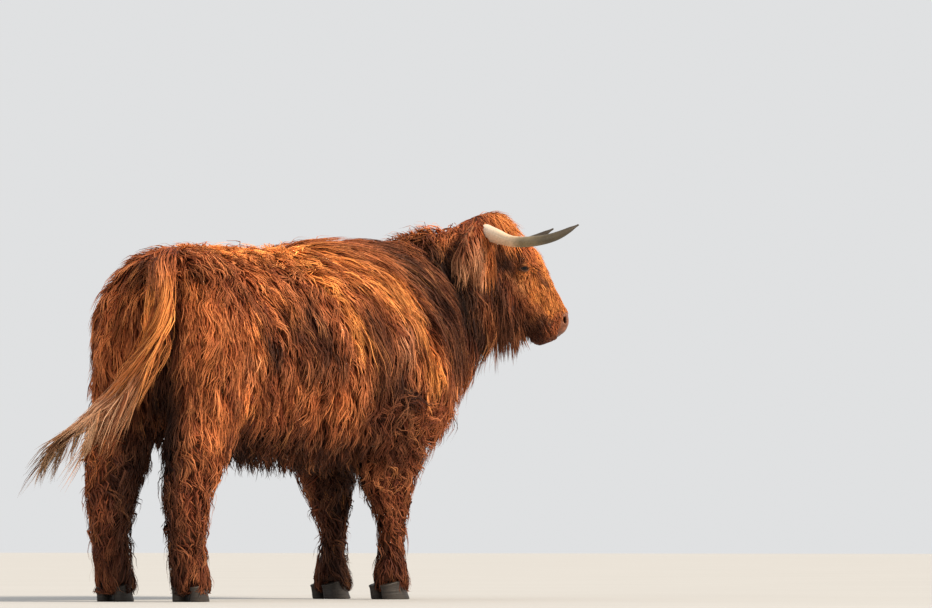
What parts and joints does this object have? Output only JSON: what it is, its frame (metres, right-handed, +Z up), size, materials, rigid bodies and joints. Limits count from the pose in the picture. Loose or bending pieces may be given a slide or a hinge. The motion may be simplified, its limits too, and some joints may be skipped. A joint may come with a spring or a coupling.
{
  "type": "highland cow",
  "caption": "Life-size model of a horned highland cow standing in its long wavy red-brown coat, body bent to the right, head turned to the right and tail swung to the left.",
  "frame": {"origin": "the ground, under the middle of the whole animal from horn tip to tail tip", "axes": "+X forward along the middle of the body, +Y to the animal's left, +Z up"},
  "size_m": [2.315, 1.0258, 1.3362],
  "materials": {
    "coat": "long wavy hair, red-brown with golden tips",
    "dark_coat": "tangled hair, dark brown",
    "tail_coat": "long hair, golden fading to pale grey-brown at the tip",
    "muzzle": "bare moist skin, pinkish brown",
    "horn": "horn, cream at the base and dark olive at the tip",
    "eye": "wet and dark",
    "hoof": "hard dull horn"
  },
  "bodies": {
    "root": {"trunk": "coat", "neck": "coat", "head": "coat", "ear_left": "coat", "ear_right": "coat", "upper_leg_hind_left": "coat", "upper_leg_hind_right": "coat", "upper_leg_fore_left": "coat", "upper_leg_fore_right": "coat", "lower_leg_hind_left": "dark_coat", "lower_leg_hind_right": "dark_coat", "lower_leg_fore_left": "dark_coat", "lower_leg_fore_right": "dark_coat", "tail_root": "tail_coat", "tail_middle": "tail_coat", "tail_switch": "tail_coat", "muzzle": "muzzle", "horn_left": "horn", "horn_right": "horn", "eye_left": "eye", "eye_right": "eye", "claw_hind_left_left": "hoof", "claw_hind_left_right": "hoof", "claw_hind_right_left": "hoof", "claw_hind_right_right": "hoof", "claw_fore_left_left": "hoof", "claw_fore_left_right": "hoof", "claw_fore_right_left": "hoof", "claw_fore_right_right": "hoof"}
  },
  "joints": []
}
